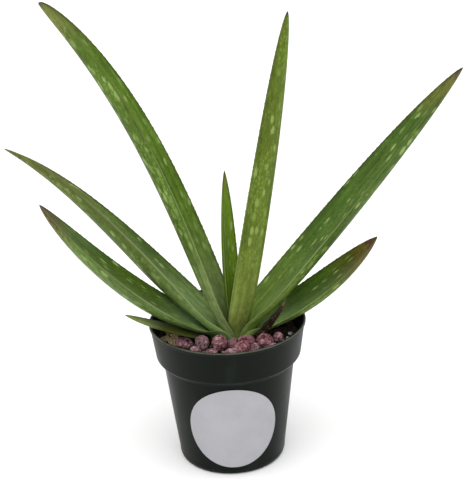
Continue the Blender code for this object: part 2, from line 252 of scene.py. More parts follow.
@dataclass
class Piece:
    """A mesh in the making: its points, faces and per-point values."""

    name: str
    points: np.ndarray
    faces: list[np.ndarray]
    values: dict[str, np.ndarray] = field(default_factory=dict)

    def build(self, finish: bpy.types.Material, slot: str, stands_for: tuple[str, ...]) -> None:
        """Makes the object, dresses it and ties it to the frame.

        Args:
            finish: the material of the whole piece.
            slot: the record's material slot; not used.
            stands_for: the frame's nodes that this piece is shown in place of.
        """
        mesh = bpy.data.meshes.new(self.name)
        inside = np.clip(self.points, CAD_BOX[0], CAD_BOX[1])
        mesh.vertices.add(len(inside))
        mesh.vertices.foreach_set("co", inside.astype(np.float32).ravel())
        corners = np.concatenate([f.ravel() for f in self.faces]).astype(np.int32)
        sides = np.concatenate([np.full(len(f), f.shape[1]) for f in self.faces])
        mesh.loops.add(len(corners))
        mesh.loops.foreach_set("vertex_index", corners)
        mesh.polygons.add(len(sides))
        mesh.polygons.foreach_set("loop_start", (np.cumsum(sides) - sides).astype(np.int32))
        mesh.update(calc_edges=True)
        mesh.validate()
        mesh.polygons.foreach_set("use_smooth", np.ones(len(mesh.polygons), bool))
        for key, value in self.values.items():
            kind, part = ("FLOAT_VECTOR", "vector") if value.ndim == 2 else ("FLOAT", "value")
            layer = mesh.attributes.new(key, kind, "POINT")
            layer.data.foreach_set(part, value.astype(np.float32).ravel())
        mesh.materials.append(finish)
        made = placed(self.name, mesh)
        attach(made, BODY)
        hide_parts(*stands_for)
        LOG.info("%s: %d points, %d faces", self.name, len(self.points), len(sides))


# ---- finishes


class Wire:
    """A value in a material's node tree; sums and products of wires are Math nodes."""

    def __init__(self, sheet: "NodeSheet", socket: Socket) -> None:
        """Ties a node's output to its sheet."""
        self.sheet = sheet
        self.socket = socket

    def __add__(self, other: "Wire | float") -> "Wire":
        """The sum."""
        return self.sheet.math("ADD", self, other)

    def __sub__(self, other: "Wire | float") -> "Wire":
        """The difference."""
        return self.sheet.math("SUBTRACT", self, other)

    def __rsub__(self, other: float) -> "Wire":
        """A number less this value."""
        return self.sheet.math("SUBTRACT", other, self)

    def __mul__(self, other: "Wire | float") -> "Wire":
        """The product."""
        return self.sheet.math("MULTIPLY", self, other)

    def __truediv__(self, other: float) -> "Wire":
        """The quotient."""
        return self.sheet.math("DIVIDE", self, other)


Term = Wire | float | Colour
Terms = dict[int | str, Term]


class NodeSheet:
    """A material's node tree, with short calls for the nodes that the finishes use."""

    def __init__(self, name: str) -> None:
        """Starts a material with one Principled shader."""
        self.material = bpy.data.materials.new(name)
        self.material.use_nodes = True
        self.tree = self.material.node_tree
        self.shader = self.tree.nodes["Principled BSDF"]

    def feed(self, socket: Socket, value: Term) -> None:
        """Links a wire to an input, or sets the input to a plain value.

        Args:
            socket: the input.
            value: a wire, a number, a vector, or a colour without its alpha.
        """
        if isinstance(value, Wire):
            self.tree.links.new(value.socket, socket)
        elif isinstance(value, tuple) and socket.type == "RGBA":
            socket.default_value = (*value, 1.0)
        else:
            socket.default_value = value

    def node(self, kind: str, terms: Terms, **settings: str) -> bpy.types.Node:
        """Adds a node.

        Args:
            kind: the node's type, without its common prefix.
            terms: what goes into its inputs, by their names or numbers.
            **settings: its properties.

        Returns:
            The node.
        """
        made = self.tree.nodes.new("ShaderNode" + kind)
        for key, value in settings.items():
            setattr(made, key, value)
        for key, term in terms.items():
            self.feed(made.inputs[key], term)
        return made

    def wire(self, kind: str, terms: Terms, output: int | str = 0, **settings: str) -> Wire:
        """One output of a new node."""
        return Wire(self, self.node(kind, terms, **settings).outputs[output])

    def math(self, operation: str, *terms: Term) -> Wire:
        """A Math node's result."""
        return self.wire("Math", dict(enumerate(terms)), operation=operation)

    def ramp(self, value: Wire, low: float, high: float, least: float = 0.0, most: float = 1.0) -> Wire:
        """A smooth step from least, where the value is low, to most, where it is high."""
        terms = dict(enumerate((value, low, high, least, most)))
        return self.wire("MapRange", terms, interpolation_type="SMOOTHSTEP")

    def swing(self, noise: Wire, least: float, most: float, reach: float = 0.25) -> Wire:
        """A noise's middle range, a half less and plus reach, made to run from least to most."""
        return self.ramp(noise, 0.5 - reach, 0.5 + reach, least, most)

    def mix(self, share: Term, first: Term, second: Term, blend: str = "MIX") -> Wire:
        """The colour between first and second."""
        terms = {"Factor": share, 6: first, 7: second}
        return self.wire("Mix", terms, 2, data_type="RGBA", blend_type=blend)

    def grey(self, tone: Wire) -> Wire:
        """A colour whose three parts are the same."""
        return self.wire("CombineColor", dict.fromkeys(range(3), tone))

    def toned(self, colour: Wire, tone: Wire) -> Wire:
        """The colour times a grey tone."""
        return self.mix(1.0, colour, self.grey(tone), "MULTIPLY")

    def scaled(self, place: Wire, scale: Colour, shift: float) -> Wire:
        """The place stretched along each axis and shifted."""
        moved = (shift, shift * 0.7, shift * 1.3)
        return self.wire("Mapping", {"Vector": place, "Scale": scale, "Location": moved})

    def noise(
        self, place: Wire, scale: float | Colour, detail: float = 3.0, rough: float = 0.55,
        shift: float = 0.0,
    ) -> Wire:
        """Noise of about 0 to 1.

        Args:
            place: where the noise is read.
            scale: its scale, or three that stretch it along the axes.
            detail: how many finer layers it has.
            rough: strength of each finer layer.
            shift: moves stretched noise.

        Returns:
            The noise.
        """
        if isinstance(scale, tuple):
            place, scale = self.scaled(place, scale, shift), 1.0
        terms = {"Vector": place, "Scale": scale, "Detail": detail, "Roughness": rough}
        return self.wire("TexNoise", terms)

    def cells(self, place: Wire, scale: float, spread: float, space: str = "3D") -> tuple[Wire, Wire]:
        """Scattered cells.

        Args:
            place: where the pattern is read.
            scale: its scale.
            spread: how far the cells stray from an even grid.
            space: 2D or 3D.

        Returns:
            The distance to a cell's middle, and the cell's random colour.
        """
        terms = {"Vector": place, "Scale": scale, "Randomness": spread}
        made = self.node("TexVoronoi", terms, voronoi_dimensions=space)
        return Wire(self, made.outputs["Distance"]), Wire(self, made.outputs["Color"])

    def split(self, value: Wire, kind: str = "XYZ") -> tuple[Wire, ...]:
        """The three parts of a vector, or of a colour where the kind is Color."""
        return tuple(Wire(self, part) for part in self.node("Separate" + kind, {0: value}).outputs)

    def object_place(self) -> Wire:
        """The place in the object's own coordinates, in metres."""
        return self.wire("TexCoord", {}, "Object")

    def value_of(self, key: str, output: str = "Fac") -> Wire:
        """A per-point value of the mesh."""
        return self.wire("Attribute", {}, output, attribute_name=key)

    def bump(self, height: Wire, strength: float, distance: float) -> None:
        """Bends the shader's normal by a height."""
        terms = {"Strength": strength, "Distance": distance, "Height": height}
        self.feed(self.shader.inputs["Normal"], self.wire("Bump", terms))

    def surface(self, colour: Wire, roughness: Term, specular: float) -> bpy.types.Material:
        """Sets the shader's colour and gloss, and gives the material."""
        self.feed(self.shader.inputs["Base Color"], colour)
        self.feed(self.shader.inputs["Roughness"], roughness)
        self.shader.inputs["Specular IOR Level"].default_value = specular
        return self.material


class Slot(Enum):
    """The record's material slots."""

    POT = "pot_plastic"
    LABEL = "label_paper"
    MIX = "potting_mix"
    STEM = "stem_skin"
    LEAF = "leaf_skin"
    YOUNG_LEAF = "young_leaf_skin"
    DRIED_LEAF = "dried_leaf_skin"
    PEBBLE = "pebble_stone"
    PERLITE = "perlite_grain"
    BARK = "bark_chip"


@dataclass(frozen=True)
class LeafFinish:
    """Colours of a leaf's skin and of the marks on it.

    Places along the leaf are shares of its length, and amounts of spots are shares of
    the pattern's cells.
    """

    inner: Colour = (0.098, 0.176, 0.018)
    outer: Colour = (0.074, 0.131, 0.015)
    base: Colour = (0.275, 0.350, 0.140)
    turning: Colour = (0.115, 0.140, 0.016)
    tip: Colour = (0.070, 0.070, 0.024)
    point: Colour = (0.040, 0.024, 0.016)
    spot: Colour = (0.260, 0.360, 0.110)
    margin: Colour = (0.250, 0.310, 0.120)
    margin_up: Colour = (0.165, 0.190, 0.065)
    turning_from: float = 0.80
    turning_to: float = 1.0
    tip_from: float = 0.965
    spots_outer: float = 0.50
    spots_inner: float = 0.14
    spots_to: float = 0.88
    roughness: float = 0.42
    specular: float = 0.10

    def material(self, name: str, length: float, shift: float) -> bpy.types.Material:
        """Makes the skin.

        The colour goes from the pale base through green to the turning tip, with painted
        shade along the margins, strongest on the inner face. Long pale spots are scattered
        in rows, fine stripes run along the leaf, and each margin is a thin line, pale below
        and duller above.

        Args:
            name: the material's name.
            length: the leaf's length.
            shift: moves the pattern, so that no two leaves are alike.

        Returns:
            The material.
        """
        s = NodeSheet(name)
        place = s.value_of("leaf_place", "Vector")
        _, along, face = s.split(place)
        edge = s.value_of("leaf_edge")
        share = along / length
        blotch = s.noise(place, (90.0, 32.0, 0.0), shift=shift)
        stripe = s.noise(place, (1500.0, 22.0, 0.0), 2.0, shift=shift)
        broad = s.noise(place, (420.0, 9.0, 0.0), 2.0, shift=shift + 2.0)
        fleck = s.noise(place, (1300.0, 900.0, 0.0), 2.0, shift=shift)
        mottle = s.noise(place, (520.0, 190.0, 0.0), 3.0, 0.6, shift + 7.0)
        jitter = (blotch - 0.5) * 0.22

        skin = s.mix(face, self.outer, self.inner)
        skin = s.mix(s.ramp(share, 0.02, 0.38, 0.75, 0.0), skin, self.base)
        skin = s.mix(s.ramp(share + jitter, self.turning_from, self.turning_to), skin, self.turning)
        nearly = share + jitter * 0.25
        skin = s.mix(s.ramp(nearly, self.tip_from, self.tip_from + 0.03), skin, self.tip)
        skin = s.mix(s.ramp(share, 0.985, 0.993), skin, self.point)
        # Painted shade: a dark band along each margin, strongest on the inner face, where the channel is
        # shaded.
        painted_margin_shade = s.ramp(edge, 0.0003, 0.0022, 0.36, 0.0) * s.ramp(face, 0.0, 1.0, 0.45, 1.0)
        tone = (
            s.swing(stripe, 0.88, 1.12)
            * s.swing(broad, 0.80, 1.20)
            * s.swing(blotch, 0.82, 1.16, 0.3)
            * s.swing(mottle, 0.80, 1.18)
            * s.swing(fleck, 0.88, 1.12, 0.3)
            * (1.0 - painted_margin_shade)
        )
        skin = s.toned(skin, tone)

        inside = s.ramp(edge, 0.0004, 0.0012)
        gap, random = s.cells(s.scaled(place, (300.0, 100.0, 0.0), shift), 1.0, 0.95, "2D")
        pick, size, strength = s.split(random, "Color")
        wanted = face * (self.spots_inner - self.spots_outer) + self.spots_outer
        chosen = s.math("LESS_THAN", pick, wanted * s.ramp(blotch, 0.30, 0.65, 0.45, 1.35))
        dot = (
            s.ramp(gap - size * 0.16 + (fleck - 0.5) * 0.30, 0.04, 0.30, 1.0, 0.0)
            * chosen
            * s.ramp(share, self.spots_to - 0.15, self.spots_to, 1.0, 0.0)
            * inside
            * s.ramp(strength, 0.0, 1.0, 0.30, 0.95)
        )
        skin = s.mix(dot, skin, self.spot)
        gap, _ = s.cells(s.scaled(place, (720.0, 240.0, 0.0), shift + 5.0), 1.0, 1.0, "2D")
        faint = s.ramp(gap, 0.05, 0.38, 0.46, 0.0) * s.ramp(blotch, 0.38, 0.60)
        skin = s.mix(faint * s.ramp(face, 0.0, 1.0, 1.0, 0.4) * inside, skin, self.spot)
        border = s.mix(s.ramp(share, 0.30, 0.80), self.margin, self.margin_up)
        thin = s.ramp(edge, 0.00010, 0.00050, 1.0, 0.0) * s.ramp(share, 0.2, 0.7, 0.75, 0.40)
        skin = s.mix(thin, skin, border)
        s.bump(stripe + dot * 0.35 + fleck * 0.4, 0.25, 0.0003)
        gloss = s.swing(blotch, self.roughness - 0.06, self.roughness + 0.08, 0.3)
        return s.surface(skin, gloss, self.specular)


@dataclass(frozen=True)
class PlasticFinish:
    """Near-black green plastic with a soft sheen, a few dusty smears, pale scuffs and a painted
    highlight along the lip.
    """

    dark: Colour = (0.0042, 0.0064, 0.0046)
    dust: Colour = (0.026, 0.031, 0.026)
    # The pale colour of the painted highlight along the rim's lip.
    lip: Colour = (0.095, 0.105, 0.078)
    scuff: Colour = (0.200, 0.220, 0.190)
    specular: float = 0.075

    def material(self) -> bpy.types.Material:
        """Makes the plastic.

        Returns:
            The material.
        """
        s = NodeSheet("nursery_pot_plastic")
        place = s.object_place()
        smear = s.noise(place, (55.0, 55.0, 18.0), 4.0, shift=1.0)
        grain = s.noise(place, 900.0)
        colour = s.mix(s.ramp(smear, 0.48, 0.80, 0.0, 0.45), self.dark, self.dust)
        gap, random = s.cells(place, 85.0, 1.0)
        few = s.math("GREATER_THAN", s.split(random, "Color")[0], 0.86)
        colour = s.mix(s.ramp(gap, 0.035, 0.075, 1.0, 0.0) * few * 0.6, colour, self.scuff)
        # Painted highlight: a pale line along the rim's outer lip, broken up by the smears.
        painted_light_mask = s.ramp(s.value_of("lip"), 0.2, 1.0, 0.0, 0.8) * s.ramp(smear, 0.30, 0.60, 0.35, 1.0)
        colour = s.mix(painted_light_mask, colour, self.lip)
        s.bump(grain + smear * 0.6, 0.10, 0.0003)
        return s.surface(colour, s.ramp(smear, 0.3, 0.75, 0.32, 0.46), self.specular)


@dataclass(frozen=True)
class PaperFinish:
    """Bare, faintly lavender sticker paper with fine fibres."""

    paper: Colour = (0.372, 0.366, 0.390)
    shade: Colour = (0.345, 0.338, 0.362)
    edge: Colour = (0.45, 0.45, 0.47)
    specular: float = 0.30

    def material(self) -> bpy.types.Material:
        """Makes the paper.

        Returns:
            The material.
        """
        s = NodeSheet("bare_label_paper")
        place = s.object_place()
        cloud = s.noise(place, 60.0)
        fibre = s.noise(place, (900.0, 900.0, 2600.0), shift=0.3)
        colour = s.mix(s.ramp(cloud, 0.3, 0.7), self.paper, self.shade)
        colour = s.mix(s.ramp(fibre, 0.35, 0.75, 0.0, 0.25), colour, self.edge)
        colour = s.mix(s.ramp(s.value_of("from_edge"), 0.0001, 0.0005, 0.5, 0.0), colour, self.edge)
        s.bump(fibre + cloud, 0.08, 0.0002)
        return s.surface(colour, s.swing(cloud, 0.45, 0.60, 0.3), self.specular)


@dataclass(frozen=True)
class SoilFinish:
    """Dark, damp mix with brown, tan and white bits by their tone."""

    damp: Colour = (0.010, 0.0065, 0.0040)
    brown: Colour = (0.045, 0.026, 0.013)
    bit: Colour = (0.085, 0.050, 0.024)
    tan: Colour = (0.930, 0.730, 0.450)
    white: Colour = (0.640, 0.600, 0.520)
    specular: float = 0.15

    def material(self) -> bpy.types.Material:
        """Makes the mix.

        Returns:
            The material.
        """
        s = NodeSheet("crumbly_mix")
        place = s.object_place()
        tone = s.value_of("tone")
        grain = s.noise(place, 700.0, 4.0, 0.65)
        lump = s.noise(place, 230.0, 4.0)
        colour = s.mix(s.ramp(lump, 0.35, 0.70), self.damp, self.brown)
        colour = s.mix(s.ramp(tone, 0.35, 0.55, 0.0, 0.8), colour, self.bit)
        colour = s.mix(s.ramp(tone, 0.60, 0.75), colour, self.tan)
        colour = s.mix(s.ramp(tone, 0.90, 0.97), colour, self.white)
        colour = s.toned(colour, s.swing(grain, 0.45, 1.35))
        s.bump(grain + lump, 0.7, 0.0008)
        return s.surface(colour, s.swing(grain, 0.75, 0.95, 0.3), self.specular)


@dataclass(frozen=True)
class StoneFinish:
    """Rough stone: painted shade in its crevices, and pale high spots that are partly dust and partly
    painted highlight.
    """

    name: str = "rough_pebble"
    # deep is the painted shade of the crevices; high is the pale colour of the high spots, partly dust
    # and partly painted highlight.
    deep: Colour = (0.026, 0.009, 0.011)
    middle: Colour = (0.226, 0.075, 0.089)
    high: Colour = (0.480, 0.300, 0.318)
    other: Colour = (0.178, 0.098, 0.112)
    scale: float = 420.0
    specular: float = 0.18

    def material(self) -> bpy.types.Material:
        """Makes the stone.

        Returns:
            The material.
        """
        s = NodeSheet(self.name)
        place = s.object_place()
        cloud = s.noise(place, self.scale)
        grain = s.noise(place, 4.0 * self.scale, 4.0, 0.65)
        middle = s.mix(s.value_of("tint"), self.middle, self.other)
        middle = s.mix(s.ramp(cloud, 0.35, 0.70, 0.0, 0.5), middle, self.other)
        # Painted shade in the creases and pits, and pale high spots that are partly dust and partly
        # painted highlight.
        painted_light_mask = s.value_of("relief") + (grain - 0.5) * 0.55
        colour = s.mix(s.ramp(painted_light_mask, 0.10, 0.42, 1.0, 0.0), middle, self.deep)
        colour = s.mix(s.ramp(painted_light_mask, 0.62, 0.95, 0.0, 0.85), colour, self.high)
        colour = s.toned(colour, s.swing(grain, 0.72, 1.25))
        s.bump(grain + cloud, 0.6, 0.0005)
        return s.surface(colour, s.swing(grain, 0.78, 0.95, 0.3), self.specular)


@dataclass(frozen=True)
class StemFinish:
    """Pale woody skin of the short stem, with darker scars."""

    pale: Colour = (0.300, 0.320, 0.130)
    scar: Colour = (0.110, 0.075, 0.034)
    specular: float = 0.25

    def material(self) -> bpy.types.Material:
        """Makes the skin.

        Returns:
            The material.
        """
        s = NodeSheet("woody_stem")
        place = s.object_place()
        bands = s.noise(place, (60.0, 60.0, 520.0), 4.0, shift=0.7)
        grain = s.noise(place, 800.0)
        colour = s.mix(s.ramp(bands, 0.42, 0.62), self.pale, self.scar)
        colour = s.toned(colour, s.swing(grain, 0.8, 1.2))
        s.bump(bands + grain, 0.4, 0.0005)
        return s.surface(colour, s.swing(grain, 0.6, 0.8, 0.3), self.specular)


# ---- pot


@dataclass
class NurseryPot:
    """The round tapered pot: a collar above a ledge, and a floor with drain holes."""

    height: float = 0.0967
    rim_radius: float = 0.0510
    band_radius: float = 0.0474
    band_z: float = 0.0741
    step_radius: float = 0.0430
    step_z: float = 0.0696
    foot_radius: float = 0.0353
    foot_z: float = 0.0060
    wall: float = 0.0013
    floor_top: float = 0.0031
    recess_z: float = 0.0018
    pad_flat: float = 0.0120
    pad_radius: float = 0.0140
    ring_radius: float = 0.0265
    ring_flat: float = 0.0285
    drains: int = 6
    drain_radius: float = 0.0035
    drain_ring: float = 0.0200
    segments: int = 240

    def radius_at(self, z: np.ndarray) -> np.ndarray:
        """Outer radius of the plain tapered body, which grows evenly from foot to step."""
        rise = (z - self.foot_z) / (self.step_z - self.foot_z)
        return self.foot_radius + (self.step_radius - self.foot_radius) * rise

    def strips(self) -> list[Mesh]:
        """The turned strips: the pad below, the wall, and the floor's middle.

        Returns:
            A mesh a strip.
        """
        foot, step, band, rim = self.foot_radius, self.step_radius, self.band_radius, self.rim_radius
        top, w = self.height, self.wall
        pad = rounded((
            (0.0, 0.0, 0.0), (self.pad_flat, 0.0, 0.0005), (self.pad_radius, self.recess_z, 0.0)))
        wall = rounded((
            (self.ring_radius, self.recess_z, 0.0),
            (self.ring_flat, 0.0, 0.0005),
            (foot - 0.0028, 0.0, 0.0006),
            (foot - 0.0010, 0.0010, 0.0006),
            (foot - 0.0002, 0.0032, 0.0008),
            (foot, self.foot_z, 0.0010),
            (step, self.step_z, 0.0005),
            (step + 0.0012, self.step_z + 0.0008, 0.0005),
            (band - 0.0006, self.band_z - 0.0010, 0.0005),
            (band, self.band_z, 0.0006),
            (rim - 0.0008, top - 0.0026, 0.0003),
            (rim, top - 0.0018, 0.0003),
            (rim, top - 0.0006, 0.0004),
            (rim - 0.0005, top, 0.0004),
            (rim - 0.0014, top, 0.0004),
            (rim - 0.0019, top - 0.0006, 0.0004),
            (band - w, self.band_z + 0.0006, 0.0008),
            (step - w, self.step_z + 0.0008, 0.0008),
            (foot - w, self.foot_z + 0.0006, 0.0010),
            (foot - 0.0030, self.floor_top, 0.0010),
            (self.ring_radius, self.floor_top, 0.0),
        ))
        middle = np.array([[self.pad_radius, self.floor_top], [0.0, self.floor_top]])
        return [revolved(p, self.segments) for p in (pad, wall, middle)]

    def drain_sector(self, number: int) -> Mesh:
        """One sector of the floor round its drain hole.

        Rows of points run from the hole's circle straight to the sector's outline, below
        and above, and the hole's wall joins the two circles.

        Args:
            number: the sector's number.

        Returns:
            Points and faces.
        """
        share = TURN / self.drains
        low, high = number * share, (number + 1) * share
        arc = np.linspace(low, high, self.segments // self.drains + 1)
        spoke = np.linspace(self.pad_radius, self.ring_radius, 9)
        sides = (
            polar(spoke[:-1], low, 0.0),
            polar(self.ring_radius, arc[:-1], 0.0),
            polar(spoke[:0:-1], high, 0.0),
            polar(self.pad_radius, arc[:0:-1], 0.0),
        )
        outline = np.concatenate(sides)
        middle = polar(self.drain_ring, (low + high) / 2, 0.0)
        way = outline - middle
        circle = middle + self.drain_radius * way / np.linalg.norm(way, axis=1)[:, None]
        rows, count = 5, len(outline)
        flat = circle + (outline - circle) * np.linspace(0.0, 1.0, rows)[:, None, None]
        points = np.concatenate([flat + (0.0, 0.0, z) for z in (self.recess_z, self.floor_top)])
        quads, size = grid_quads(rows, count), rows * count
        ring = np.arange(count)
        after = np.roll(ring, -1)
        hole = np.stack([ring, ring + size, after + size, after], -1)
        return points.reshape(-1, 3), [quads, quads[:, ::-1] + size, hole]

    def build(self) -> None:
        """Makes and dresses the pot, with a value that marks its lip, where the painted highlight goes.
        """
        points, faces = joined(self.strips() + [self.drain_sector(k) for k in range(self.drains)])
        rise = smooth_rise(points[:, 2] - self.height, -0.0013, -0.0005)
        reach = np.hypot(points[:, 0], points[:, 1])
        lip = rise * smooth_rise(reach, self.rim_radius - 0.0009, self.rim_radius - 0.0004)
        piece = Piece("nursery_pot", points, faces, {"lip": lip})
        piece.build(PlasticFinish().material(), Slot.POT.value, ("pot",))


@dataclass
class RoundLabel:
    """A bare round sticker bent round the pot's cone."""

    pot: NurseryPot
    radius: float = 0.0302
    centre_z: float = 0.0367
    thick: float = 0.0003
    gap: float = 0.0003
    turn: float = 2.0
    rim_share: float = 0.55
    rim_width: float = 0.0004
    wave_height: float = 0.00002
    wave_pitch: float = 0.014
    rings: int = 24
    sides: int = 144

    def sheet(self, lift: np.ndarray, share: np.ndarray) -> np.ndarray:
        """A disc wrapped on the cone: (r sin a, -r cos a, z), where r a is the place across it.

        Args:
            lift: height of each ring of points above the pot's wall.
            share: each ring's share of the disc's radius.

        Returns:
            Points, by ring and by place round the ring.
        """
        angle = around(self.sides)
        across = self.radius * share[:, None] * np.cos(angle)
        up = self.centre_z + self.radius * share[:, None] * np.sin(angle)
        radius = self.pot.radius_at(up) + lift[:, None]
        turn = across / radius + math.radians(self.turn)
        return np.stack([radius * np.sin(turn), -radius * np.cos(turn), up], -1)

    def build(self) -> None:
        """Makes and dresses the label: rings out over its back, and in over its crowned face."""
        share = 1.0 - (1.0 - np.arange(1, self.rings + 1) / self.rings) ** 1.6
        inset = (1.0 - share) * self.radius
        rise = smooth_rise(inset, 0.0, self.rim_width)
        crown = self.gap + self.thick * (self.rim_share + (1.0 - self.rim_share) * rise)
        top = self.sheet(crown, share)
        top += wave_noise(top, self.wave_pitch, 3)[..., None] * self.wave_height
        under = self.sheet(np.full(self.rings, self.gap), share)
        lifts = np.array([self.gap, self.gap + self.thick])
        ends = self.sheet(lifts, np.zeros(2))[:, 0]
        rim = np.repeat(np.concatenate([inset, inset[::-1]]), self.sides)
        values = {"from_edge": np.append(rim, [self.radius, self.radius])}
        mesh = capped(np.concatenate([under, top[::-1]]), *ends)
        piece = Piece("round_label", *mesh, values)
        piece.build(PaperFinish().material(), Slot.LABEL.value, ("blank_label",))


# ---- mix and stem


@dataclass
class StemBase:
    """The short stem that carries the leaves, hidden between them and the mix."""

    plant_x: float = 0.0060
    plant_y: float = 0.0050
    radius: float = 0.0162
    bottom_z: float = 0.0617
    top_z: float = 0.0794
    low_share: float = 0.55
    swell_to: float = 0.62
    scars: float = 4.5
    scar_depth: float = 0.00022
    sides: int = 144
    rows: int = 40

    def outline(self, turn: np.ndarray) -> np.ndarray:
        """Radius by direction, with two bumps exp(-(a / w)^2) where the lowest leaves leave it."""
        low_left = np.exp(-((((np.degrees(turn) - 26) % 360 - 180) / 28) ** 2))
        low_right = np.exp(-((((np.degrees(turn) - 136) % 360 - 180) / 48) ** 2))
        return self.radius - 0.0016 * np.cos(turn) + 0.0053 * low_left + 0.0058 * low_right

    def build(self) -> None:
        """Makes the stub: its radius swells as a sine of the height, less wavy leaf scars."""
        turn = around(self.sides)
        up = np.linspace(0.0, 1.0, self.rows)[:, None]
        swell = np.sin(np.clip(up / self.swell_to, 0.0, 1.0) * math.pi / 2)
        share = self.low_share + (1.0 - self.low_share) * swell
        waves = np.cos(up * TURN * self.scars + 2.0 * np.cos(turn)) - 1.0
        radius = self.outline(turn) * share + self.scar_depth * waves * smooth_rise(up, 0.0, 0.2)
        height = self.bottom_z + (self.top_z - self.bottom_z) * up
        rings = polar(radius, turn, height) + (self.plant_x, self.plant_y, 0.0)
        ends = [(self.plant_x, self.plant_y, z) for z in (self.bottom_z, self.top_z)]
        piece = Piece("woody_stem", *capped(rings, *ends))
        piece.build(StemFinish().material(), Slot.STEM.value, ("stem_base",))


@dataclass
class PottingMix:
    """The mix that fills the pot, with a lumpy top and loose crumbs on it."""

    pot: NurseryPot
    stem: StemBase
    gap: float = 0.0003
    top_z: float = 0.0817
    sides: int = 240
    top_rows: int = 60
    crumbs: int = 950
    crumb_seed: int = 77
    wall_gap: float = 0.0032
    stem_gap: float = 0.0012
    tan: float = 0.8
    white: float = 1.0

    def height_at(self, x: np.ndarray, y: np.ndarray) -> np.ndarray:
        """Height of the uneven top: two crossed waves and a rise towards the wall."""
        waves = 0.0006 * np.sin(260 * x + 1.0) * np.cos(230 * y) + 0.0004 * np.sin(520 * y + 240 * x)
        return self.top_z + waves + 0.0016 * (np.hypot(x, y) / 0.045) ** 4

    def body(self) -> Mesh:
        """The closed body: up the wall, in over the lumpy top and down the stem's well.

        The top's points run straight from the pot's wall to the well.

        Returns:
            The points and the faces.
        """
        pot, stem = self.pot, self.stem
        slack = pot.wall + self.gap + 0.0002
        turn = around(self.sides)
        share = np.linspace(0.0, 1.0, self.top_rows)[:, None]
        well = polar(stem.outline(turn) + self.gap, turn, 0.0) + (stem.plant_x, stem.plant_y, 0.0)
        rim = polar(pot.band_radius - slack + 0.0008, turn, 0.0)
        top = rim + (well - rim) * share[..., None]
        bumps = 0.00055 * wave_noise(top, 0.0055, 21) + 0.00030 * wave_noise(top, 0.0018, 22)
        fade = smooth_rise(share, 0.0, 0.06) * smooth_rise(1.0 - share, 0.0, 0.10)
        top[..., 2] = self.height_at(top[..., 0], top[..., 1]) + bumps * fade
        floor, low = pot.floor_top + self.gap, stem.bottom_z - self.gap
        levels = (
            (pot.foot_radius - 0.0030, floor),
            (pot.foot_radius, pot.foot_z + 0.0012),
            (pot.step_radius, pot.step_z + 0.0008),
            (pot.band_radius, pot.band_z + 0.0006),
        )
        wall = [polar(radius - slack, turn, z) for radius, z in levels]
        rings = np.concatenate([wall, top, [well + (0.0, 0.0, low)]])
        return capped(rings, (0.0, 0.0, floor), (stem.plant_x, stem.plant_y, low))

    def scatter(self) -> tuple[np.ndarray, list[np.ndarray], np.ndarray]:
        """Crumbs: small knobbly balls, each stretched, leant and turned its own way.

        Tan crumbs gather on the left and dark ones on the right.

        Returns:
            Points, faces and a tone for each point.
        """
        draw = np.random.default_rng(self.crumb_seed)
        angle = draw.uniform(0.0, TURN, 2 * self.crumbs)
        reach = (self.pot.band_radius - self.wall_gap) * np.sqrt(draw.uniform(0.0, 1.0, len(angle)))
        x, y = reach * np.cos(angle), reach * np.sin(angle)
        off_x, off_y = x - self.stem.plant_x, y - self.stem.plant_y
        clear = np.hypot(off_x, off_y) > self.stem.outline(np.arctan2(off_y, off_x)) + self.stem_gap
        x, y = x[clear][:self.crumbs], y[clear][:self.crumbs]
        count = len(x)
        left = smooth_rise(-x, 0.027, 0.034) * smooth_rise(-y, -0.022, -0.008)
        right = smooth_rise(x, 0.024, 0.030) * smooth_rise(-y, -0.034, -0.026)
        tone = draw.uniform(0.0, 1.0, count)
        tone = np.where(tone > 0.975, self.white, np.where(tone > 0.90, self.tan, tone * 0.6))
        tone = np.where(draw.uniform(0.0, 1.0, count) < 0.85 * left, self.tan, tone)
        dull = np.where(tone < 0.9, tone * (1.0 - 0.7 * right), tone)
        tone = np.where(draw.uniform(0.0, 1.0, count) < 0.03 * right, self.white, dull)
        shape, groups = ball(7, 4)
        knobs = shape[None] * draw.uniform(0.72, 1.28, (count, len(shape), 1))
        length = draw.uniform(0.0005, 0.0013, count) * (1.0 + 1.2 * left * (tone > 0.7))
        length = np.minimum(length, (self.pot.band_radius - self.pot.wall - np.hypot(x, y)) / 1.3)
        width = length * draw.uniform(0.5, 0.9, count)
        depth = length * draw.uniform(0.35, 0.7, count)
        long, wide, deep = np.moveaxis(knobs * np.stack([length, width, depth], -1)[:, None], -1, 0)
        spin = draw.uniform(0.0, TURN, count)[:, None]
        lean = draw.uniform(-0.5, 0.5, count)[:, None]
        high = deep * np.cos(lean) + long * np.sin(lean)
        long = long * np.cos(lean) - deep * np.sin(lean)
        points = np.stack([
            x[:, None] + long * np.cos(spin) - wide * np.sin(spin),
            y[:, None] + long * np.sin(spin) + wide * np.cos(spin),
            (self.height_at(x, y) + 0.25 * depth + 0.0002)[:, None] + high,
        ], -1).reshape(-1, 3)
        starts = (np.arange(count) * len(shape))[:, None, None]
        faces = [(group[None] + starts).reshape(-1, group.shape[1]) for group in groups]
        return points, faces, np.repeat(tone, len(shape))

    def build(self) -> None:
        """Makes and dresses the mix."""
        points, faces = self.body()
        bits, bit_faces, tone = self.scatter()
        faces += [f + len(points) for f in bit_faces]
        values = {"tone": np.concatenate([np.zeros(len(points)), tone])}
        piece = Piece("crumbly_mix", np.concatenate([points, bits]), faces, values)
        piece.build(SoilFinish().material(), Slot.MIX.value, ("potting_mix",))


# ---- leaves


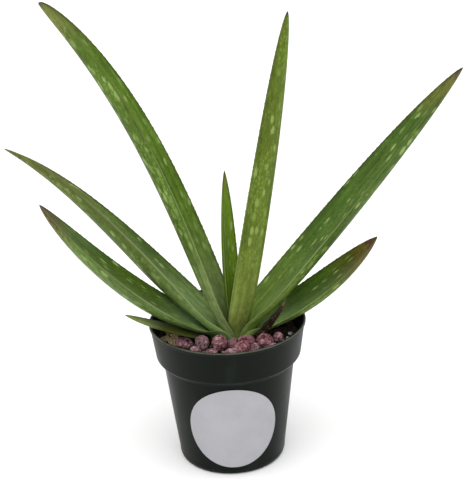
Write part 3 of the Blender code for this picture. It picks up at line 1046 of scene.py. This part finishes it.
@dataclass(frozen=True)
class Leaf:
    """One leaf's sizes. Lengths are in metres and angles in degrees.

    The clasp is the base that wraps the plant's axis, and the blade is the rest. A
    leaf turns as seen from above and leans from upright, to lean_tip at its tip.
    channel is half of the blade's arc, and taper_a and taper_b close the tip.
    """

    node: str
    slot: Slot
    ring: float
    clasp_turn: float
    clasp_half: float
    clasp_thick: float
    turn: float
    turn_more: float
    lean: float
    lean_tip: float
    lean_power: float
    rise: float
    length: float
    half_width: float
    thick: float
    channel: float
    taper_a: float
    taper_b: float
    twist: float
    twist_power: float
    flatten: float
    finish: LeafFinish
    crumple: float = 0.0


@dataclass
class LeafRosette:
    """The nine leaves, which clasp each other round the plant's axis."""

    stem: StemBase
    base_z: float = 0.0797
    spread: float = 0.036
    ring_pitch: float = 0.00050
    across: int = 25
    fine_steps: int = 241
    tooth_pitch: float = 0.0047
    tooth_height: float = 0.0004
    tooth_half_width: float = 0.0009
    tooth_lean: float = 0.55
    teeth_from: float = 0.012
    teeth_full: float = 0.028
    full_half_width: float = 0.012

    def line(self, leaf: Leaf) -> tuple[np.ndarray, ...]:
        """The middle line and the directions that go with it.

        The line starts upright at the clasping base and leans out; its direction seen
        from above goes from the clasp's to the blade's. Each fades in as
        1 - exp(-(run / rise)^2). The point is the running sum of the direction.

        Args:
            leaf: the leaf's sizes.

        Returns:
            Shares of the length, points, side directions, inward directions and
            directions along the leaf.
        """
        fine = np.linspace(0.0, 1.0, self.fine_steps)
        run = fine * leaf.length
        base = np.exp(-((run / leaf.rise) ** 2))
        turn = np.radians(leaf.turn + leaf.turn_more * fine**1.5 + (leaf.clasp_turn - leaf.turn) * base)
        lean = leaf.lean + (leaf.lean_tip - leaf.lean) * fine**leaf.lean_power
        lean = np.radians(lean) * (1.0 - base)
        along = polar(np.sin(lean), turn, np.cos(lean))
        inward = polar(-np.cos(lean), turn, np.sin(lean))
        side = np.cross(inward, along)
        twist = np.radians(leaf.twist * fine**leaf.twist_power)[:, None]
        side, inward = (
            side * np.cos(twist) + inward * np.sin(twist),
            inward * np.cos(twist) - side * np.sin(twist),
        )
        start = polar(leaf.ring, math.radians(leaf.clasp_turn), self.base_z)
        start = start + (self.stem.plant_x, self.stem.plant_y, 0.0)
        moved = np.cumsum((along[1:] + along[:-1]) * 0.5 * np.diff(run)[:, None], axis=0)
        points = start + np.concatenate([np.zeros((1, 3)), moved])
        return fine, points, side, inward, along

    def teeth(self, leaf: Leaf, run: np.ndarray, seed: int) -> np.ndarray:
        """Height of the soft teeth along one margin: a row of peaks (1 - d / w)^1.3.

        Args:
            leaf: the leaf's sizes.
            run: places along the leaf.
            seed: seed of the teeth's places.

        Returns:
            The height of the margin's edge at each place.
        """
        draw = np.random.default_rng(seed)
        count = int(leaf.length / self.tooth_pitch)
        places = (np.arange(count) + 1.0 + draw.uniform(-0.25, 0.25, count)) * self.tooth_pitch
        heights = draw.uniform(0.6, 1.1, count) * self.tooth_height
        gap = np.abs(run[:, None] - places[None]) / self.tooth_half_width
        peaks = np.clip(1.0 - gap, 0.0, 1.0) ** 1.3 * heights
        fade = smooth_rise(run, self.teeth_from, self.teeth_full)
        fade = fade * np.clip(1.15 - run / leaf.length, 0.0, 0.6) / 0.6
        return peaks.max(axis=1) * fade * min(1.0, leaf.half_width / self.full_half_width)

    def faces(self, rows: int, tip: int) -> list[np.ndarray]:
        """Faces of a skin of rows of points, closed by a cap at the tip and a strip at the foot.

        Args:
            rows: rows of points round the leaf.
            tip: number of the tip's point, after the rows'.

        Returns:
            The faces, which look out.
        """
        count, far = tip // rows, self.across - 1
        near = np.arange(1, far - 1)
        foot = np.stack([near, count - near, count - near - 1, near + 1], -1)
        ends = np.array([[0, count - 1, 1], [far - 1, far + 1, far]])
        groups = [grid_quads(rows, count), fan(tip, np.arange(tip - count, tip)), foot, ends]
        return [group[:, ::-1] for group in groups]

    def skins(self, leaf: Leaf, number: int) -> Piece:
        """The leaf's closed skin.

        Across the leaf, the upper skin is an arc whose half angle opens from the clasp
        to the blade, and the lower skin lies below it by the thickness times
        (1 - |u|^2.4)^0.75. The half width times (1 - t^a)^b closes the tip.

        Args:
            leaf: the leaf's sizes.
            number: the leaf's number, for its seeds.

        Returns:
            The piece, with its place along and across the leaf at each point.
        """
        rows = int(leaf.length / self.ring_pitch)
        steps = 1.0 - (1.0 - np.linspace(0.0, 1.0, rows + 1)) ** 1.25
        across = np.sin(np.linspace(-0.5, 0.5, self.across) * math.pi)
        fine, *curves = self.line(leaf)
        line, side, inward, along = (
            np.stack([np.interp(steps, fine, v[:, i]) for i in range(3)], -1) for v in curves
        )
        run = steps * leaf.length
        taper = np.clip(1.0 - steps**leaf.taper_a, 0.0, 1.0) ** leaf.taper_b
        base = np.exp(-((run / (1.6 * leaf.rise)) ** 2))
        clasp = math.radians(leaf.clasp_half)
        blade = math.radians(leaf.channel) * (1.0 - leaf.flatten * steps)
        theta = blade + (clasp - blade) * base
        half = (leaf.half_width + (leaf.ring * clasp - leaf.half_width) * base) * taper
        thick = leaf.thick * taper
        thick = thick + (leaf.clasp_thick - leaf.thick) * np.exp(-((run / self.spread) ** 2))
        angle = theta[:, None] * across[None]
        sine, cosine = np.sin(angle)[..., None], np.cos(angle)[..., None]
        side, inward, along = side[:, None], inward[:, None], along[:, None]
        bend = (half / theta)[:, None, None]
        upper = line[:, None] + side * (bend * sine) + inward * (bend * (1.0 - cosine))
        depth = (thick[:, None] * ((1.0 - np.abs(across) ** 2.4) ** 0.75)[None])[..., None]
        lower = upper + side * (depth * sine) - inward * (depth * cosine)

        for edge, seed in ((0, 2 * number), (-1, 2 * number + 1)):
            out = (side * cosine + inward * sine)[:, edge] * (1.0 if edge else -1.0)
            out = out + self.tooth_lean * along[:, 0]
            upper[:, edge] += self.teeth(leaf, run, seed)[:, None] * out
            lower[:, edge] = upper[:, edge]

        if leaf.crumple:
            fade = (smooth_rise(run, 0.004, 0.014) * taper)[:, None, None]
            for pitch, share, seed in ((0.012, 1.0, 5), (0.004, 0.45, 6)):
                wave = wave_noise((upper + lower) / 2, pitch, seed)[..., None]
                push = leaf.crumple * share * fade * wave * inward
                upper, lower = upper + push, lower + push
        skin = np.concatenate([upper, lower[:, 1:-1][:, ::-1]], axis=1)[:-1]
        u = np.concatenate([across, across[1:-1][::-1]])
        face = np.concatenate([np.ones(self.across), np.zeros(self.across - 2)])
        face[[0, self.across - 1]] = 0.5
        arc, down, face = np.broadcast_arrays(u * half[:-1, None], run[:-1, None], face)
        margin = (1.0 - np.abs(u)) * half[:-1, None]
        place = np.stack([arc, down, face], -1).reshape(-1, 3)
        values = {
            "leaf_place": np.concatenate([place, [[0.0, leaf.length, 0.5]]]),
            "leaf_edge": np.concatenate([margin.ravel(), [0.0]]),
        }
        points = np.concatenate([skin.reshape(-1, 3), line[-1:]])
        name = leaf.node.replace("leaf_", "aloe_leaf_")
        return Piece(name, points, self.faces(rows, len(points) - 1), values)

    def build(self, leaves: tuple[Leaf, ...]) -> None:
        """Makes and dresses every leaf.

        Args:
            leaves: the leaves' sizes, from the innermost out.
        """
        for number, leaf in enumerate(leaves):
            piece = self.skins(leaf, number)
            finish = leaf.finish.material(f"{leaf.node}_skin", leaf.length, 3.7 * number)
            piece.build(finish, leaf.slot.value, (leaf.node,))


YOUNG = LeafFinish(
    inner=(0.124, 0.216, 0.012), outer=(0.124, 0.216, 0.012), base=(0.142, 0.220, 0.024),
    turning=(0.145, 0.170, 0.026), tip_from=0.98)
CENTRE = LeafFinish(
    inner=(0.092, 0.142, 0.010), outer=(0.098, 0.146, 0.013), base=(0.290, 0.365, 0.085),
    turning=(0.100, 0.148, 0.013), spot=(0.235, 0.320, 0.080), tip_from=0.985,
    spots_outer=0.55, spots_to=0.90)
TALL_LEFT = LeafFinish(
    turning=(0.150, 0.165, 0.040), tip=(0.110, 0.110, 0.048), point=(0.095, 0.085, 0.050),
    tip_from=0.975, spots_outer=0.74, spots_inner=0.34, spots_to=0.97)
TALL_RIGHT = LeafFinish(
    inner=(0.059, 0.113, 0.015), outer=(0.065, 0.117, 0.018), base=(0.180, 0.270, 0.048),
    turning=(0.125, 0.125, 0.024), tip=(0.085, 0.062, 0.032), turning_from=0.78,
    tip_from=0.95, spots_outer=0.60, spots_inner=0.26, spots_to=0.95)
MIDDLE = LeafFinish(
    inner=(0.066, 0.116, 0.016), outer=(0.094, 0.138, 0.029), base=(0.265, 0.395, 0.135),
    turning=(0.105, 0.125, 0.026), tip=(0.085, 0.095, 0.036), margin_up=(0.150, 0.130, 0.050),
    turning_from=0.42, turning_to=0.95, spots_outer=0.68, spots_inner=0.30)
LOW_RIGHT = LeafFinish(
    inner=(0.058, 0.118, 0.010), outer=(0.070, 0.118, 0.015), base=(0.380, 0.540, 0.150),
    turning=(0.108, 0.080, 0.012), tip=(0.098, 0.046, 0.023), turning_from=0.52,
    turning_to=0.92, tip_from=0.90, spots_outer=0.30, spots_inner=0.16)
LOW_LEFT = LeafFinish(
    inner=(0.061, 0.114, 0.012), outer=(0.102, 0.164, 0.038), base=(0.170, 0.275, 0.100),
    turning=(0.088, 0.052, 0.017), tip=(0.142, 0.046, 0.035), turning_from=0.78,
    tip_from=0.955, spots_outer=0.75, spots_inner=0.34)
SMALL = LeafFinish(
    inner=(0.098, 0.122, 0.022), outer=(0.112, 0.128, 0.026), base=(0.110, 0.096, 0.026),
    turning=(0.205, 0.275, 0.046), tip=(0.150, 0.150, 0.050), margin=(0.110, 0.075, 0.034),
    margin_up=(0.110, 0.065, 0.032), turning_from=0.52, turning_to=0.86, spots_outer=0.12,
    spots_inner=0.05)
DRIED = LeafFinish(
    inner=(0.016, 0.014, 0.005), outer=(0.020, 0.017, 0.007), base=(0.014, 0.016, 0.005),
    turning=(0.034, 0.022, 0.010), tip=(0.150, 0.088, 0.055), point=(0.170, 0.100, 0.066),
    spot=(0.260, 0.230, 0.160), margin=(0.070, 0.075, 0.035), margin_up=(0.080, 0.055, 0.030),
    turning_from=0.5, tip_from=0.90, spots_outer=0.45, spots_inner=0.45, roughness=0.70)

LEAVES = (
    Leaf("leaf_centre_young", Slot.YOUNG_LEAF, 0.0020, 150, 95, 0.0024, 139, -6, 2,
         1, 1.0, 0.009, 0.116, 0.0071, 0.0046, 35, 2.7, 0.74, -2, 1, 0.35, YOUNG),
    Leaf("leaf_tall_centre", Slot.YOUNG_LEAF, 0.0050, -70, 80, 0.0024, -55, -6, 16,
         16, 1.0, 0.009, 0.237, 0.0097, 0.0050, 24, 2.6, 0.59, 1, 1, 0.35, CENTRE),
    Leaf("leaf_tall_left", Slot.LEAF, 0.0082, 180, 84, 0.0027, 162.6, 9.4, 19.2,
         43.1, 2.23, 0.0107, 0.2494, 0.0151, 0.0046, 57.4, 4.1, 0.47, 2.8, 1.02, -0.41, TALL_LEFT),
    Leaf("leaf_tall_right", Slot.LEAF, 0.0082, 0, 84, 0.0027, 13.2, -13.9, 45.1,
         38.5, 0.75, 0.0116, 0.2238, 0.0158, 0.0063, 40.8, 3.1, 0.68, 13.4, 0.61, -0.27, TALL_RIGHT),
    Leaf("leaf_middle_left", Slot.LEAF, 0.0116, 180, 84, 0.0027, 155.3, -14.4, 47.5,
         84.6, 2.5, 0.0075, 0.2061, 0.0134, 0.0105, 40.5, 1.5, 0.67, 32.6, 0.6, 0.13, MIDDLE),
    Leaf("leaf_low_right", Slot.LEAF, 0.0116, 0, 84, 0.0027, -0.8, -5.9, 69.1,
         42.9, 0.63, 0.0076, 0.1082, 0.0137, 0.0082, 21.6, 3.41, 0.79, 19.8, 0.49, -0.05, LOW_RIGHT),
    Leaf("leaf_low_left", Slot.LEAF, 0.0154, 182, 84, 0.0018, 186.8, 0.7, 69.0,
         35.0, 0.6, 0.0068, 0.1497, 0.0172, 0.0084, 17.1, 3.43, 0.73, -1.7, 1, -0.44, LOW_LEFT),
    Leaf("leaf_small_left", Slot.LEAF, 0.0206, 204, 19, 0.0011, 193.5, -7, 76.0,
         62.5, 0.75, 0.0067, 0.0625, 0.0102, 0.0022, 8.6, 2.96, 0.66, 5.3, 0.58, 0.05, SMALL),
    Leaf("leaf_dried_right", Slot.DRIED_LEAF, 0.0180, -44, 22, 0.0013, -50, -1, 47,
         33, 1.0, 0.007, 0.0495, 0.0042, 0.0016, 30, 1.9, 0.73, -30, 1, 0.35, DRIED, 0.0006),
)


# ---- stones and bits


@dataclass
class StoneSet:
    """The frame's plain stones of one kind, made into rough ones of the same size and place."""

    node: str
    slot: Slot
    finish: StoneFinish
    tints: tuple[float, ...]
    seed: int = 0
    digits: int = 2
    columns: int = 96
    rows: int = 56
    crease: float = 0.095
    lump: float = 0.05
    grit: float = 0.013
    pitch: float = 0.0056
    pits: float = 0.024
    crease_width: float = 0.16
    sharpness: float = 14.0

    def stone(self, number: int, tint: float, skin: bpy.types.Material) -> None:
        """Makes one stone.

        The plain stone's radius in any direction is the mean of its corners' radii,
        weighed by exp(s (cos a - 1)). Creases where one random wave crosses zero,
        broad lumps and fine grit are added, and the whole is fitted to the plain
        stone's box.

        Args:
            number: the stone's number in its set, from 1.
            tint: how far the stone goes towards its finish's other colour.
            skin: the stone's material.
        """
        node = f"{self.node}_{number:0{self.digits}d}"
        corners = node_points(node)
        low, high = corners.min(0), corners.max(0)
        centre = (low + high) / 2
        reach = np.linalg.norm(corners - centre, axis=1)
        ways, faces = ball(self.columns, self.rows)
        weight = np.exp(self.sharpness * (ways @ ((corners - centre) / reach[:, None]).T - 1.0))
        plain = ways * (weight @ reach / weight.sum(1))[:, None]
        first = 1000 + 10 * (self.seed + number)
        wave, lump, pits, grit = (
            wave_noise(plain, size * self.pitch, first + k, waves)
            for k, (size, waves) in enumerate(((1.0, 20), (1.3, 16), (0.55, 24), (0.25, 30)))
        )
        crease = np.exp(-((wave / self.crease_width) ** 2))
        relief = self.lump * lump - self.crease * crease + self.pits * pits + self.grit * grit
        points = plain * (1.0 + relief)[:, None]
        least, most = points.min(0), points.max(0)
        points = low + (points - least) / (most - least) * (high - low)
        # This value sets where the finish paints shade into the creases and lightens the high spots.
        shade = np.clip(0.66 + 0.12 * lump - 0.48 * crease + 0.16 * pits + 0.14 * grit, 0.0, 1.0)
        values = {"relief": shade, "tint": np.full(len(points), tint)}
        name = node.replace(self.node, self.finish.name)
        Piece(name, points, faces, values).build(skin, self.slot.value, (node,))

    def build(self) -> None:
        """Makes and dresses the stones, one for each tint."""
        skin = self.finish.material()
        for number, tint in enumerate(self.tints, 1):
            self.stone(number, tint, skin)


@dataclass
class Topping:
    """The rough pebbles, the perlite grains and the bark chips on the mix."""

    pebbles: int = 25
    tints: tuple[float, ...] = (0.65, 1.0, 0.20, 0.60, 0.25, 0.05, 0.55, 0.85, 0.05, 0.20, 1.0, 0.8)
    tint_seed: int = 9
    bits: tuple[float, ...] = (0.3, 0.3, 0.3)

    def build(self) -> None:
        """Makes and dresses every stone."""
        draw = np.random.default_rng(self.tint_seed)
        tints = (*self.tints, *draw.uniform(0.0, 1.0, self.pebbles - len(self.tints)))
        white = StoneFinish(
            "white_grain", (0.20, 0.19, 0.16), (0.44, 0.43, 0.39), (0.66, 0.64, 0.59),
            (0.38, 0.36, 0.32), 900.0)
        tan = StoneFinish(
            "tan_chip", (0.34, 0.20, 0.09), (0.88, 0.66, 0.38), (0.90, 0.78, 0.58),
            (0.68, 0.44, 0.22), 700.0)
        for stones in (
            StoneSet("pebble", Slot.PEBBLE, StoneFinish(), tints),
            StoneSet("perlite", Slot.PERLITE, white, self.bits, 40, 1, 48, 28, 0.12, 0.08, 0.03, 0.0020),
            StoneSet("bark_chip", Slot.BARK, tan, self.bits, 50, 1, 48, 28, 0.12, 0.08, 0.03, 0.0022),
        ):
            stones.build()


# ---- studio


@dataclass
class Studio:
    """Pale floor, soft lights and the camera."""

    target: tuple[float, float, float] = (0.0062, 0.0, 0.1503)
    distance: float = 0.850
    elevation: float = 22.0
    roll: float = -2.4
    lens: float = 99.79
    sensor: float = 36.0
    floor_side: float = 6.0
    floor_glow: float = 0.06
    sky: float = 0.94

    def camera(self) -> None:
        """Places the camera in front of the label, looking down on the plant."""
        tilt = math.radians(self.elevation)
        back = Vector((0.0, -math.cos(tilt), math.sin(tilt)))
        data = bpy.data.cameras.new("camera")
        data.lens = self.lens
        data.sensor_width = self.sensor
        data.clip_start = 0.01
        data.clip_end = 50.0
        look = (-back).to_track_quat("-Z", "Y").to_matrix().to_4x4()
        roll = Matrix.Rotation(math.radians(self.roll), 4, "Z")
        made = placed("camera", data)
        made.matrix_world = Matrix.Translation(Vector(self.target) + back * self.distance) @ look @ roll
        bpy.context.scene.camera = made

    def sun(self, turn: float, height: float, spread: float, power: float) -> None:
        """Adds a broad far light.

        Args:
            turn: direction that it comes from, seen from above, in degrees.
            height: height above the horizon, in degrees.
            spread: width of the light in the sky, in degrees.
            power: strength.
        """
        data = bpy.data.lights.new("broad_light", "SUN")
        data.energy = power
        data.angle = math.radians(spread)
        a, b = math.radians(turn), math.radians(height)
        way = Vector((math.cos(b) * math.cos(a), math.cos(b) * math.sin(a), math.sin(b)))
        placed("broad_light", data).rotation_euler = (-way).to_track_quat("-Z", "Y").to_euler()

    def floor(self) -> None:
        """Makes the plain pale floor."""
        half = self.floor_side / 2
        mesh = bpy.data.meshes.new("floor")
        corners = [(-half, -half, 0), (half, -half, 0), (half, half, 0), (-half, half, 0)]
        mesh.from_pydata(corners, [], [(0, 1, 2, 3)])
        s = NodeSheet("floor_paint")
        s.shader.inputs["Emission Color"].default_value = (1.0, 1.0, 1.0, 1.0)
        s.shader.inputs["Emission Strength"].default_value = self.floor_glow
        tone = s.ramp(s.noise(s.object_place(), 2.0), 0.3, 0.7, 0.945, 0.955)
        mesh.materials.append(s.surface(s.grey(tone), 0.9, 0.05))
        made = placed("floor", mesh)

    def build(self) -> None:
        """Makes the whole set."""
        world = bpy.data.worlds.new("studio")
        world.use_nodes = True
        back = world.node_tree.nodes["Background"]
        back.inputs[0].default_value = (1.0, 1.0, 1.0, 1.0)
        back.inputs[1].default_value = self.sky
        bpy.context.scene.world = world
        bpy.context.scene.view_settings.view_transform = "Standard"
        self.floor()
        self.sun(turn=-94.0, height=62.0, spread=70.0, power=1.35)
        self.camera()


def main() -> None:
    """Builds each part of the plant and its set."""
    logging.basicConfig(level=logging.INFO, format="%(message)s")
    pot = NurseryPot()
    stem = StemBase()
    pot.build()
    RoundLabel(pot).build()
    PottingMix(pot, stem).build()
    stem.build()
    LeafRosette(stem).build(LEAVES)
    Topping().build()
    Studio().build()


if __name__ == "__main__":
    main()
